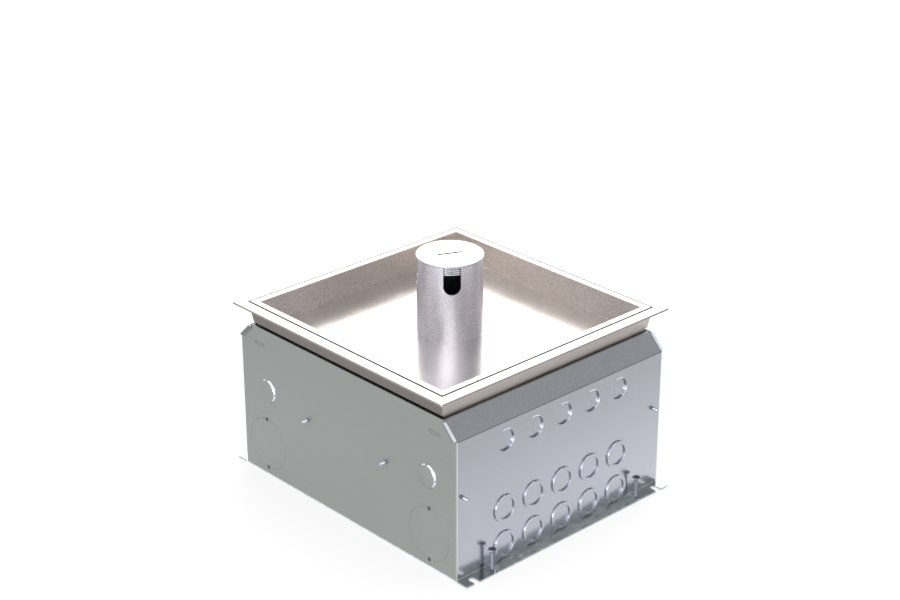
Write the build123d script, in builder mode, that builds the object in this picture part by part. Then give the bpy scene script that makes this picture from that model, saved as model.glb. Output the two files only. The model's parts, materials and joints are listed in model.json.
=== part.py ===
from build123d import *
import math
import os

os.makedirs("parts", exist_ok=True)

# A screed-level floor socket box with a recessed lid tray and a cable outlet tube.
# The origin is the middle of the housing on the underside of the base plate, +Z up.
# The shouldered knockout walls face +X and -X, the plain end plates face +Y and -Y.

# Housing, folded from galvanised sheet around the trim frame
sheet = 1.5
housing_gap = 1.8
wall_top = 133.5
shoulder = 15.4
foot_strip = 13.2
fold = 12.0
corner_bend = 1.2
fold_gap = 0.4

# Open slots in the foot strips, for the floor fixings
slot_width = 6.5
slot_depth = 9.2
slot_inset = 11.8

# Levelling screws in the foot strips
level_spacing = 24.0
level_r = 1.7
level_head_r = 3.8
level_head_h = 2.2
level_top = 21.2
level_tip = 0.2

# Knockouts: M25 rings and the end plates' M20 discs are pushed out, the walls' M20 discs in
knock_proud = 1.5
knock_recess = 2.4
knock_flush = 0.3
knock_wall = 0.8
knock_sides = 14
knock_m25_r = 12.75
knock_m20_r = 10.25
knock_m50_r = 25.25
knock_pitch = 35.0
knock_columns = 5
knock_low_z = 15.0
knock_mid_z = 50.3
knock_high_drop = 17.5
end_m20_inset = 36.3
end_m20_z = 88.3
end_m50_inset = 33.6
end_m50_z = 32.9
pry_hole_r = 1.4
pry_hole_sides = 8

# Rounded tab pressed out along each chamfer of the end plates
tab_length = 17.5
tab_width = 3.4
tab_proud = 0.8

# Weld studs on the outside, for whatever is bolted against the walls
stud_r = 1.95
stud_length = 5.0
stud_z = 78.8
wall_stud_inset = 8.5
end_stud_x = 52.75

# Corner shelves that carry the levelling jacks
shelf_sheet = 2.0
shelf_lift = 0.5
shelf_margin = 12.0
shelf_leg = 62.0
shelf_leg_width = 19.0
lug_shift = 5.0
lug_length = 11.9
lug_gap = 0.3
jack_inset = 13.0
jack_r = 2.95
jack_sides = 16
run_gap = 0.05
nut_r = 5.5
nut_h = 5.0

# Trim frame, welded from stainless sheet
frame_rise = 22.6
flange_width = 11.2
frame_sheet = 2.0
frame_corner = 1.5
skirt_sheet = 1.2
skirt_outset = 0.7
skirt_lean = 3.5
skirt_drop = 23.5
skirt_step = 3.3
rim_seat = 0.3
ledge_drop = 4.1
ledge_sheet = 1.2
ledge_reach = 1.3

# Frame brackets and jack screws
bracket_sheet = 1.6
bracket_lift = 6.0
bracket_margin = 9.5
jack_drop = 30.0
jack_head_r = 5.0
jack_head_h = 3.4
jack_collar_h = 1.8

# Lid tray, folded from stainless sheet
tray_half = 121.1
tray_sheet = 1.0
tray_depth = 25.0
rim_width = 6.7
rim_sheet = 1.0
rim_gap = 0.25
stiffener_y = 72.0
stiffener_margin = 26.1
stiffener_width = 20.0
stiffener_h = 6.0

# Outlet tube and its guide under the tray
tube_r = 29.75
tube_wall = 1.6
tube_travel = 50.0
slide_gap = 0.08
collar_wall = 5.25
collar_sides = 12
collar_flange_reach = 12.25
collar_flange_h = 3.0
collar_h = 24.0
stop_flange_reach = 3.75
stop_flange_h = 4.0
stop_gap = 0.3

# Notches through which the cables leave the tube
notch_count = 4
notch_width = 15.7
notch_depth = 28.0
notch_angle = -39.2

# Screw cap
cap_overhang = 0.75
cap_disc = 1.8
cap_seal_h = 0.6
cap_seal_width = 1.0
cap_seal_sides = 48
plug_h = 8.4
plug_wall = 2.6
plug_gap = 0.1
coin_length = 22.6
coin_width = 1.2
coin_depth = 1.0
coin_angle = 64.5

# Carriers for the sockets and data modules
carrier_margin = 5.0
carrier_top = 88.0
carrier_low = 30.0
carrier_reach = 48.8
carrier_back_h = 20.0
carrier_return = 12.0
insert_pitch = 60.0
insert_size = 46.0
insert_plate = 2.5
insert_body = 39.0
insert_gap = 0.3
insert_depth = 32.0
pin_slot_length = 7.0
pin_slot_width = 3.8
pin_slot_depth = 18.0
pin_pitch = 11.0
jack_port_x = 12.0
jack_port_z = 9.0
jack_port_depth = 14.0

# Cable rails, clamps and terminals on the base plate
rail_inset = 28.0
rail_width = 28.0
rail_h = 12.0
rail_crown = 14.0
clamp_pitch = 60.0
clamp_length = 32.0
clamp_width = 10.0
clamp_h = 4.0
clamp_screw_x = 11.0
clamp_screw_r = 3.2
clamp_screw_h = 2.2
terminal_length = 60.0
terminal_width = 22.0
terminal_h = 16.0
terminal_ways = 5
terminal_pitch = 11.0
terminal_well = 5.0
terminal_well_depth = 6.0
earth_x = -62.0
earth_length = 26.0
earth_width = 12.0
earth_h = 10.0
earth_bore_r = 2.2

# Values worked out from the sizes above, from the tray outwards
tray_outer = tray_half + tray_sheet
rim_half = tray_half + rim_width
frame_half = rim_half + flange_width
skirt_top_half = rim_half + skirt_outset
skirt_low_half = skirt_top_half - skirt_lean
half_y = skirt_low_half + housing_gap
half_x = half_y + housing_gap + shoulder
housing_top = wall_top + shoulder
frame_top = housing_top + frame_rise
strip_edge = half_x + foot_strip
inner_x = half_x - 2 * sheet
inner_y = half_y - sheet
level_x = half_x + foot_strip / 2
slot_y = half_y - slot_inset
level_y = slot_y - level_spacing
knock_high_z = wall_top - knock_high_drop
end_m20_x = half_x - end_m20_inset
end_m50_x = half_x - end_m50_inset
wall_stud_y = half_y - wall_stud_inset
fold_corner = sheet * math.tan(math.radians(22.5))
fold_end = sheet * math.cos(math.radians(45))
jack_x = skirt_low_half - jack_inset
jack_y = jack_x
shelf_z = wall_top + shelf_lift
shelf_low = shelf_z - shelf_sheet
shelf_reach = inner_x - jack_x + shelf_margin
shelf_depth = inner_y - jack_y + shelf_margin
lug_x = jack_x + lug_shift
rim_low = frame_top - rim_sheet
floor_top = frame_top - tray_depth
floor_low = floor_top - tray_sheet
flange_low = frame_top - frame_sheet
cap_top = frame_top + tube_travel
plug_top = cap_top - cap_disc
tube_top = plug_top - cap_seal_h
tube_inner_r = tube_r - tube_wall
collar_low = floor_low - collar_h
tube_low = collar_low - stop_gap - stop_flange_h
skirt_low_z = frame_top - skirt_drop
skirt_h = flange_low - skirt_low_z
skirt_slope = skirt_lean / skirt_h
skirt_top_z = rim_low - rim_seat
bracket_top = shelf_z + bracket_lift
bracket_low = bracket_top - bracket_sheet
carrier_face = inner_y - carrier_reach
carrier_back = inner_y - sheet
carrier_length = 3 * insert_pitch + 2 * carrier_margin
rail_x = half_x - rail_inset
insert_z = (carrier_top + carrier_low) / 2
corners = [(1, -1), (-1, -1), (1, 1), (-1, 1)]
corner_names = ["front_right", "front_left", "rear_right", "rear_left"]


def save(piece, label):
    piece.part.label = label
    export_step(piece.part, f"parts/{label}.step")


def wall_plane(side):
    return Plane(origin=(side * half_x, 0, 0), x_dir=(0, side, 0), z_dir=(side, 0, 0))


def end_plane(side):
    return Plane(origin=(0, side * half_y, 0), x_dir=(-side, 0, 0), z_dir=(0, side, 0))


# Base plate with foot strips, fixing slots and tapped levelling holes
with BuildPart() as base_plate:
    with BuildSketch():
        Rectangle(2 * strip_edge, 2 * half_y)
        with GridLocations(2 * strip_edge, 2 * slot_y, 2, 2):
            SlotCenterToCenter(2 * slot_depth - slot_width, slot_width, mode=Mode.SUBTRACT)
        with GridLocations(2 * level_x, 2 * level_y, 2, 2):
            Circle(level_r + run_gap, mode=Mode.SUBTRACT)
    extrude(amount=sheet)
save(base_plate, "base_plate")


# Shouldered side walls, one fold from the base flange to the shoulder
def side_wall_outline(side):
    outline = [
        (half_x - fold, sheet),
        (half_x, sheet),
        (half_x, wall_top),
        (half_x - shoulder, housing_top),
        (half_x - shoulder - fold_end, housing_top - fold_end),
        (half_x - sheet, wall_top - fold_corner),
        (half_x - sheet, 2 * sheet),
        (half_x - fold, 2 * sheet),
    ]
    return [(side * x, z) for x, z in outline]


for side, label in ((1, "side_wall_right"), (-1, "side_wall_left")):
    with BuildPart() as side_wall:
        with BuildSketch(Plane.XZ):
            with BuildLine():
                Polyline(*side_wall_outline(side), close=True)
            make_face()
        extrude(amount=inner_y, both=True)
        with BuildSketch(wall_plane(side)):
            with Locations((0, (knock_low_z + knock_mid_z) / 2)):
                with GridLocations(knock_pitch, knock_mid_z - knock_low_z, knock_columns, 2):
                    RegularPolygon(knock_m25_r, knock_sides)
                    RegularPolygon(knock_m20_r, knock_sides, mode=Mode.SUBTRACT)
        extrude(amount=knock_proud)
        with BuildSketch(wall_plane(side).offset(-sheet)):
            with Locations((0, knock_high_z)):
                with GridLocations(knock_pitch, 1, knock_columns, 1):
                    RegularPolygon(knock_m20_r + knock_wall, knock_sides)
        extrude(amount=-knock_recess)
        with BuildSketch(wall_plane(side)):
            with Locations((0, knock_high_z)):
                with GridLocations(knock_pitch, 1, knock_columns, 1):
                    RegularPolygon(knock_m20_r, knock_sides)
        extrude(amount=-knock_recess, mode=Mode.SUBTRACT)
    save(side_wall, label)


# Plain end plates with inward flanges, knockouts and the slots for the shelf lugs
end_outline = [
    (-half_x, sheet),
    (half_x, sheet),
    (half_x, wall_top),
    (half_x - shoulder, housing_top),
    (shoulder - half_x, housing_top),
    (-half_x, wall_top),
]
flange_tall = wall_top - 2 * sheet - shoulder
tab_centre = (
    half_x - shoulder / 2 - tab_width / 2 * math.cos(math.radians(45)),
    wall_top + shoulder / 2 - tab_width / 2 * math.cos(math.radians(45)),
)

for side, label in ((-1, "end_plate_front"), (1, "end_plate_rear")):
    with BuildPart() as end_plate:
        with BuildSketch(end_plane(side)):
            with BuildLine():
                Polyline(*end_outline, close=True)
            make_face()
        extrude(amount=-sheet)
        outer_edges = end_plate.edges().filter_by(Axis.Z).group_by(Axis.Y)
        fillet(outer_edges[0 if side < 0 else -1], corner_bend)
        with BuildSketch(end_plane(side).offset(-sheet)):
            with Locations((0, 1.5 * sheet)):
                Rectangle(2 * (half_x - fold - fold_gap), sheet)
            with Locations((0, 2 * sheet + fold_gap + flange_tall / 2)):
                with GridLocations(2 * (inner_x + sheet / 2), 1, 2, 1):
                    Rectangle(sheet, flange_tall)
        extrude(amount=-fold)
        with BuildSketch(end_plane(side)):
            with Locations((-end_m20_x, end_m20_z), (end_m20_x, end_m20_z)):
                RegularPolygon(knock_m20_r, knock_sides)
        extrude(amount=knock_proud)
        with BuildSketch(end_plane(side).offset(-sheet)):
            with Locations((-end_m20_x, end_m20_z), (end_m20_x, end_m20_z)):
                RegularPolygon(knock_m20_r - knock_wall, knock_sides)
        extrude(amount=knock_proud, mode=Mode.SUBTRACT)
        with BuildSketch(end_plane(side)):
            with Locations((-end_m50_x, end_m50_z), (end_m50_x, end_m50_z)):
                RegularPolygon(knock_m50_r, 2 * knock_sides)
        extrude(amount=knock_flush)
        with BuildSketch(end_plane(side).offset(knock_flush)):
            with Locations((0, end_m50_z)):
                with GridLocations(2 * end_m50_x, 2 * knock_m50_r, 2, 2):
                    RegularPolygon(pry_hole_r, pry_hole_sides)
        extrude(amount=-sheet - knock_flush, mode=Mode.SUBTRACT)
        with BuildSketch(end_plane(side)):
            for turn in (-1, 1):
                with Locations(Location((turn * tab_centre[0], tab_centre[1], 0), (0, 0, -45 * turn))):
                    Rectangle(tab_length, tab_width)
        extrude(amount=tab_proud)
        with BuildSketch(end_plane(side)):
            with Locations((-lug_x, shelf_z - shelf_sheet / 2), (lug_x, shelf_z - shelf_sheet / 2)):
                Rectangle(lug_length + 2 * lug_gap, shelf_sheet + 2 * lug_gap)
        extrude(amount=-sheet, mode=Mode.SUBTRACT)
    save(end_plate, label)


# Corner shelves with a weld nut for the jack screw and a lug through the end plate
for (side, end), corner in zip(corners, corner_names):
    with BuildPart() as corner_shelf:
        with BuildSketch(Plane.XY.offset(shelf_low)):
            with Locations((side * (inner_x - shelf_reach / 2), end * (inner_y - shelf_depth / 2))):
                Rectangle(shelf_reach, shelf_depth)
            with Locations((side * lug_x, end * (inner_y + sheet / 2))):
                Rectangle(lug_length, sheet)
        extrude(amount=shelf_sheet)
        with BuildSketch(Plane.XY.offset(shelf_low)):
            with Locations((side * (inner_x - sheet / 2), end * (inner_y - shelf_leg_width / 2))):
                Rectangle(sheet, shelf_leg_width)
        extrude(amount=-shelf_leg)
        with BuildSketch(Plane.XY.offset(shelf_low)):
            with Locations((side * jack_x, end * jack_y)):
                RegularPolygon(nut_r, 6)
        extrude(amount=-nut_h)
        with BuildSketch(Plane.XY.offset(shelf_z)):
            with Locations((side * jack_x, end * jack_y)):
                Circle(jack_r + run_gap)
        extrude(amount=-(shelf_sheet + nut_h), mode=Mode.SUBTRACT)
    save(corner_shelf, f"corner_shelf_{corner}")


# Weld studs on the walls and end plates
with BuildPart() as wall_studs:
    for side in (-1, 1):
        with BuildSketch(wall_plane(side)):
            with Locations((-wall_stud_y, stud_z), (wall_stud_y, stud_z)):
                Circle(stud_r)
        extrude(amount=stud_length)
save(wall_studs, "wall_studs")

with BuildPart() as end_studs:
    for side in (-1, 1):
        with BuildSketch(end_plane(side)):
            with Locations((-end_stud_x, stud_z), (end_stud_x, stud_z)):
                Circle(stud_r)
        extrude(amount=stud_length)
save(end_studs, "end_studs")

# Countersunk levelling screws, wound up so that their tips are inside the base plate
level_profile = [
    (0, level_tip),
    (level_r, level_tip),
    (level_r, level_top - level_head_h),
    (level_head_r, level_top),
    (0, level_top),
]
for (side, end), corner in zip(corners, corner_names):
    with BuildPart() as levelling_screw:
        with BuildSketch(Plane.XZ.offset(-end * level_y)):
            with BuildLine():
                Polyline(*[(side * level_x + r, z) for r, z in level_profile], close=True)
            make_face()
        revolve(axis=Axis((side * level_x, end * level_y, 0), (0, 0, 1)))
    save(levelling_screw, f"levelling_screw_{corner}")

# Trim frame, three welded pieces: the flat flange, whose opening fits the skirt's outer face
skirt_taper = math.degrees(math.atan(skirt_slope))
skirt_inner_half = skirt_low_half - skirt_sheet
with BuildPart() as frame_flange:
    with BuildSketch(Plane.XY.offset(flange_low)):
        RectangleRounded(2 * frame_half, 2 * frame_half, frame_corner)
    extrude(amount=frame_sheet)
    with BuildSketch(Plane.XY.offset(flange_low)):
        Rectangle(2 * skirt_top_half, 2 * skirt_top_half)
    extrude(amount=frame_sheet, taper=-skirt_taper, mode=Mode.SUBTRACT)
save(frame_flange, "frame_flange")

# The tapered skirt, cut shorter over the two end plates
with BuildPart() as frame_skirt:
    with BuildSketch(Plane.XY.offset(skirt_low_z)):
        Rectangle(2 * skirt_low_half, 2 * skirt_low_half)
    extrude(amount=skirt_top_z - skirt_low_z, taper=-skirt_taper)
    with BuildSketch(Plane.XY.offset(skirt_low_z)):
        Rectangle(2 * skirt_inner_half, 2 * skirt_inner_half)
    extrude(amount=skirt_top_z - skirt_low_z, taper=-skirt_taper, mode=Mode.SUBTRACT)
    with BuildSketch(Plane.XY.offset(skirt_low_z)):
        with GridLocations(1, 4 * skirt_inner_half, 1, 2):
            Rectangle(4 * skirt_low_half, 2 * skirt_low_half)
    extrude(amount=skirt_step, mode=Mode.SUBTRACT)
save(frame_skirt, "frame_skirt")

# The ledge inside the skirt, which carries the gasket
ledge_top = rim_low - ledge_drop + ledge_sheet
ledge_low = ledge_top - ledge_sheet
ledge_inner = tray_outer + ledge_reach
ledge_outer = skirt_inner_half + skirt_slope * (ledge_low - skirt_low_z)
with BuildPart() as frame_ledge:
    with BuildSketch(Plane.XY.offset(ledge_low)):
        Rectangle(2 * ledge_outer, 2 * ledge_outer)
    extrude(amount=ledge_sheet, taper=-skirt_taper)
    with BuildSketch(Plane.XY.offset(ledge_low)):
        Rectangle(2 * ledge_inner, 2 * ledge_inner)
    extrude(amount=ledge_sheet, mode=Mode.SUBTRACT)
save(frame_ledge, "frame_ledge")

# Gasket between the ledge and the underside of the tray's rim
gasket_outer = ledge_outer - rim_gap
with BuildPart() as frame_gasket:
    with BuildSketch(Plane.XY.offset(ledge_top)):
        Rectangle(2 * gasket_outer, 2 * gasket_outer)
        Rectangle(2 * ledge_inner, 2 * ledge_inner, mode=Mode.SUBTRACT)
    extrude(amount=rim_low - ledge_top)
save(frame_gasket, "frame_gasket")

# Frame brackets: a strap inside the skirt with a foot for the jack screw
strap_top = ledge_low
strap_face = skirt_inner_half
strap_face_top = strap_face + skirt_slope * (strap_top - skirt_low_z)
bracket_end = skirt_inner_half - rim_gap
bracket_inner = jack_x - shelf_margin
bracket_width = bracket_end - jack_y + bracket_margin
bracket_outline = [
    (bracket_inner, bracket_low),
    (strap_face, bracket_low),
    (strap_face, skirt_low_z),
    (strap_face_top, strap_top),
    (strap_face_top - bracket_sheet, strap_top),
    (strap_face - bracket_sheet, skirt_low_z),
    (strap_face - bracket_sheet, bracket_top),
    (bracket_inner, bracket_top),
]
for (side, end), corner in zip(corners, corner_names):
    with BuildPart() as frame_bracket:
        with BuildSketch(Plane.XZ.offset(-end * (bracket_end - bracket_width / 2))):
            with BuildLine():
                Polyline(*[(side * x, z) for x, z in bracket_outline], close=True)
            make_face()
        extrude(amount=bracket_width / 2, both=True)
        with BuildSketch(Plane.XY.offset(bracket_top)):
            with Locations((side * jack_x, end * jack_y)):
                Circle(jack_r + run_gap)
        extrude(amount=-bracket_sheet, mode=Mode.SUBTRACT)
    save(frame_bracket, f"frame_bracket_{corner}")

# Jack screws: they turn in the frame brackets and climb in the shelves' weld nuts
jack_low = shelf_z - jack_drop
jack_head_low = bracket_top + 2 * run_gap
jack_collar_top = bracket_low - 2 * run_gap
for (side, end), corner in zip(corners, corner_names):
    with BuildPart() as jack_screw:
        with BuildSketch(Plane.XY.offset(jack_low)):
            with Locations((side * jack_x, end * jack_y)):
                RegularPolygon(jack_r, jack_sides)
        extrude(amount=jack_head_low - jack_low)
        with BuildSketch(Plane.XY.offset(jack_collar_top)):
            with Locations((side * jack_x, end * jack_y)):
                RegularPolygon(jack_head_r, 6)
        extrude(amount=-jack_collar_h)
        with BuildSketch(Plane.XY.offset(jack_head_low)):
            with Locations((side * jack_x, end * jack_y)):
                RegularPolygon(jack_head_r, 6)
        extrude(amount=jack_head_h)
    save(jack_screw, f"jack_screw_{corner}")

# Lid tray: rim, upright walls and the floor with its tube hole
with BuildPart() as lid_tray:
    with BuildSketch(Plane.XY.offset(floor_low)):
        Rectangle(2 * tray_outer, 2 * tray_outer)
    extrude(amount=rim_low - floor_low)
    with BuildSketch(Plane.XY.offset(rim_low)):
        Rectangle(2 * rim_half, 2 * rim_half)
    extrude(amount=rim_sheet)
    with BuildSketch(Plane.XY.offset(frame_top)):
        Rectangle(2 * tray_half, 2 * tray_half)
    extrude(amount=-tray_depth, mode=Mode.SUBTRACT)
    with BuildSketch(Plane.XY.offset(floor_low)):
        Circle(tube_r + rim_gap)
    extrude(amount=tray_sheet, mode=Mode.SUBTRACT)
save(lid_tray, "lid_tray")

# Hat sections that stiffen the floor of the tray
for side, label in ((-1, "tray_stiffener_front"), (1, "tray_stiffener_rear")):
    with BuildPart() as tray_stiffener:
        with BuildSketch(Plane.YZ):
            with Locations((side * stiffener_y, floor_low - stiffener_h / 2)):
                Rectangle(stiffener_width / 2, stiffener_h)
            with Locations((side * stiffener_y, floor_low - tray_sheet / 2)):
                Rectangle(stiffener_width, tray_sheet)
            with Locations((side * stiffener_y, floor_low - (stiffener_h - tray_sheet) / 2)):
                Rectangle(stiffener_width / 2 - 2 * tray_sheet, stiffener_h - tray_sheet, mode=Mode.SUBTRACT)
        extrude(amount=tray_half - stiffener_margin, both=True)
    save(tray_stiffener, label)

# Guide collar for the tube: a square flange under the floor and a twelve-sided barrel
with BuildPart() as guide_collar:
    with BuildSketch(Plane.XY.offset(floor_low)):
        RegularPolygon(tube_r + collar_wall, collar_sides)
    extrude(amount=-collar_h)
    with BuildSketch(Plane.XY.offset(floor_low)):
        Rectangle(2 * (tube_r + collar_flange_reach), 2 * (tube_r + collar_flange_reach))
    extrude(amount=-collar_flange_h)
    with BuildSketch(Plane.XY.offset(floor_low)):
        Circle(tube_r + slide_gap)
    extrude(amount=-collar_h, mode=Mode.SUBTRACT)
save(guide_collar, "guide_collar")

# Outlet tube with its stop flange and four round-ended notches
notch_r = notch_width / 2
notch_low = cap_top - notch_depth
with BuildPart() as outlet_tube:
    with BuildSketch(Plane.XY.offset(tube_low)):
        Circle(tube_r)
        Circle(tube_inner_r, mode=Mode.SUBTRACT)
    extrude(amount=tube_top - tube_low)
    with BuildSketch(Plane.XY.offset(tube_low)):
        RegularPolygon(tube_r + stop_flange_reach, 2 * collar_sides)
        Circle(tube_inner_r, mode=Mode.SUBTRACT)
    extrude(amount=stop_flange_h)
    for turn in range(notch_count):
        facing = math.radians(notch_angle + turn * 360 / notch_count)
        outward = (math.cos(facing), math.sin(facing), 0)
        with BuildSketch(Plane(origin=(0, 0, 0), x_dir=(-outward[1], outward[0], 0), z_dir=outward)):
            with Locations((0, notch_low + notch_r)):
                Circle(notch_r)
            with Locations((0, (notch_low + notch_r + cap_top) / 2)):
                Rectangle(notch_width, cap_top - notch_low - notch_r)
        extrude(amount=2 * tube_r, mode=Mode.SUBTRACT)
save(outlet_tube, "outlet_tube")

# Seal under the rim of the cap
with BuildPart() as cap_seal:
    with BuildSketch(Plane.XY.offset(tube_top)):
        RegularPolygon(tube_r - run_gap, cap_seal_sides)
        RegularPolygon(tube_r - run_gap - cap_seal_width, cap_seal_sides, mode=Mode.SUBTRACT)
    extrude(amount=cap_seal_h)
save(cap_seal, "cap_seal")

# Screw cap: disc with a coin slot, and the hollow threaded plug below it
plug_r = tube_inner_r - plug_gap
with BuildPart() as screw_cap:
    with BuildSketch(Plane.XY.offset(plug_top)):
        Circle(tube_r + cap_overhang)
    extrude(amount=cap_disc)
    with BuildSketch(Plane.XY.offset(plug_top)):
        Circle(plug_r)
        Circle(plug_r - plug_wall, mode=Mode.SUBTRACT)
    extrude(amount=-plug_h)
    with BuildSketch(Plane.XY.offset(cap_top)):
        SlotOverall(coin_length, coin_width, rotation=coin_angle)
    extrude(amount=-coin_depth, mode=Mode.SUBTRACT)
save(screw_cap, "screw_cap")

# Carriers: back flange on the end plate, shelf, face panel and lower return
carrier_outline = [
    (inner_y, carrier_top - carrier_back_h),
    (inner_y, carrier_top),
    (carrier_face, carrier_top),
    (carrier_face, carrier_low),
    (carrier_face + carrier_return, carrier_low),
    (carrier_face + carrier_return, carrier_low + sheet),
    (carrier_face + sheet, carrier_low + sheet),
    (carrier_face + sheet, carrier_top - sheet),
    (carrier_back, carrier_top - sheet),
    (carrier_back, carrier_top - carrier_back_h),
]
for end, label in ((-1, "socket_carrier"), (1, "data_carrier")):
    with BuildPart() as carrier:
        with BuildSketch(Plane.YZ):
            with BuildLine():
                Polyline(*[(end * y, z) for y, z in carrier_outline], close=True)
            make_face()
        extrude(amount=carrier_length / 2, both=True)
        with BuildSketch(end_plane(end).offset(carrier_face - half_y)):
            with Locations((0, insert_z)):
                with GridLocations(insert_pitch, 1, 3, 1):
                    Rectangle(insert_body + 2 * insert_gap, insert_body + 2 * insert_gap)
        extrude(amount=sheet, mode=Mode.SUBTRACT)
    save(carrier, label)


# Sockets and data modules: a square face plate with its body behind the panel
for end, label in ((-1, "socket_insert"), (1, "data_module")):
    face = end_plane(end).offset(carrier_face - half_y)
    for column in (-1, 0, 1):
        centre = (-end * column * insert_pitch, insert_z)
        with BuildPart() as insert:
            with BuildSketch(face):
                with Locations(centre):
                    Rectangle(insert_size, insert_size)
            extrude(amount=-insert_plate)
            with BuildSketch(face):
                with Locations(centre):
                    Rectangle(insert_body, insert_body)
            extrude(amount=insert_depth)
            with BuildSketch(face.offset(-insert_plate)):
                with Locations(centre):
                    if end < 0:
                        with GridLocations(2 * pin_pitch, 1, 2, 1):
                            Rectangle(pin_slot_length, pin_slot_width)
                        with Locations((0, pin_pitch)):
                            Rectangle(pin_slot_width, pin_slot_length)
                    else:
                        Rectangle(jack_port_x, jack_port_z)
            extrude(amount=pin_slot_depth if end < 0 else jack_port_depth, mode=Mode.SUBTRACT)
        save(insert, f"{label}_{column + 2}")

# Cable rails along the knockout walls
for side, label in ((1, "cable_rail_right"), (-1, "cable_rail_left")):
    with BuildPart() as cable_rail:
        with BuildSketch(Plane.XZ):
            with Locations((side * rail_x, 1.5 * sheet)):
                Rectangle(rail_width, sheet)
            with Locations((side * rail_x, sheet + rail_h / 2)):
                Rectangle(rail_crown, rail_h)
            with Locations((side * rail_x, sheet + (rail_h - sheet) / 2)):
                Rectangle(rail_crown - 2 * sheet, rail_h - sheet, mode=Mode.SUBTRACT)
        extrude(amount=1.5 * clamp_pitch, both=True)
    save(cable_rail, label)

clamp_low = sheet + rail_h
with BuildPart() as cable_clamps:
    with BuildSketch(Plane.XY.offset(clamp_low)):
        with GridLocations(2 * rail_x, clamp_pitch, 2, 3):
            Rectangle(clamp_length, clamp_width)
    extrude(amount=clamp_h)
    with BuildSketch(Plane.XY.offset(clamp_low + clamp_h)):
        for end_x in (-clamp_screw_x, clamp_screw_x):
            with Locations((end_x, 0)):
                with GridLocations(2 * rail_x, clamp_pitch, 2, 3):
                    RegularPolygon(clamp_screw_r, 6)
    extrude(amount=clamp_screw_h)
save(cable_clamps, "cable_clamps")

# Terminal block with a screw well above each way
with BuildPart() as terminal_block:
    with BuildSketch(Plane.XY.offset(sheet)):
        Rectangle(terminal_length, terminal_width)
    extrude(amount=terminal_h)
    with BuildSketch(Plane.XY.offset(sheet + terminal_h)):
        with GridLocations(terminal_pitch, terminal_width / 2, terminal_ways, 2):
            Rectangle(terminal_well, terminal_well)
    extrude(amount=-terminal_well_depth, mode=Mode.SUBTRACT)
save(terminal_block, "terminal_block")

# Earth terminal, a brass bar with one cable bore
with BuildPart() as earth_terminal:
    with BuildSketch(Plane.XY.offset(sheet)):
        with Locations((earth_x, 0)):
            Rectangle(earth_length, earth_width)
    extrude(amount=earth_h)
    with BuildSketch(Plane.YZ.offset(earth_x - earth_length / 2)):
        with Locations((0, sheet + earth_h / 2)):
            Circle(earth_bore_r)
    extrude(amount=earth_length, mode=Mode.SUBTRACT)
save(earth_terminal, "earth_terminal")
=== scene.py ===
import json
import math

import bmesh
import bpy
from mathutils import Matrix, Vector


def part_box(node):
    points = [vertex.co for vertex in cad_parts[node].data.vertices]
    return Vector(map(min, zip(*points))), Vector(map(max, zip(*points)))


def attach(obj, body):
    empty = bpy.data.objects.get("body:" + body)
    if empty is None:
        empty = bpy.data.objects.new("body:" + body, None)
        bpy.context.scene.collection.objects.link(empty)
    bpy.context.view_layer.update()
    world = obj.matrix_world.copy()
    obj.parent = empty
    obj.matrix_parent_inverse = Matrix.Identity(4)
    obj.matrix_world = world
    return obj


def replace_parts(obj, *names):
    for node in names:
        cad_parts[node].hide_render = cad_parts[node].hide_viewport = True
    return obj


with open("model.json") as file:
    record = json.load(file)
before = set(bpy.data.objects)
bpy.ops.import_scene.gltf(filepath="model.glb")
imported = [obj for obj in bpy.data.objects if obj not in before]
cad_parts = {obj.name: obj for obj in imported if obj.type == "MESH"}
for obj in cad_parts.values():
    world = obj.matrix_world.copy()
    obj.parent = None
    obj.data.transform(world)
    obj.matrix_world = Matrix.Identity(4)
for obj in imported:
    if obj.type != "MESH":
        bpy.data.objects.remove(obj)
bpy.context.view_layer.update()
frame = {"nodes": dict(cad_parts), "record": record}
bpy.ops.object.select_all(action="DESELECT")
print("frame loaded:", len(frame["nodes"]), "nodes")

mm = 0.001
noiseSpan = {"From Min": 0.3, "From Max": 0.7}  # nearly all values of a noise texture lie in here
erodedSkin = {"glossSpread": 0.08, "bump": 0.25, "bumpMm": 0.05}  # what spark erosion leaves on a mould


def linearColour(code):
    # sRGB hex to the linear values that the shaders take
    parts = [int(code[i : i + 2], 16) / 255 for i in (1, 3, 5)]
    return tuple(c / 12.92 if c <= 0.04045 else ((c + 0.055) / 1.055) ** 2.4 for c in parts) + (1.0,)


def addNode(tree, kind, settings=None, links=None):
    node = tree.nodes.new(kind)
    for key, value in (settings or {}).items():
        if isinstance(key, int) or key in node.inputs:
            node.inputs[key].default_value = value
        else:
            setattr(node, key, value)
    for key, source in (links or {}).items():
        tree.links.new(source, node.inputs[key])
    return node


def startMaterial(name, metallic, specular=0.5):
    material = bpy.data.materials.new(name)
    material.use_nodes = True
    tree = material.node_tree
    shader = tree.nodes["Principled BSDF"]
    shader.inputs["Metallic"].default_value = metallic
    shader.inputs["Specular IOR Level"].default_value = specular
    place = addNode(tree, "ShaderNodeTexCoord").outputs["Object"]
    return material, tree, shader, place


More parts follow.
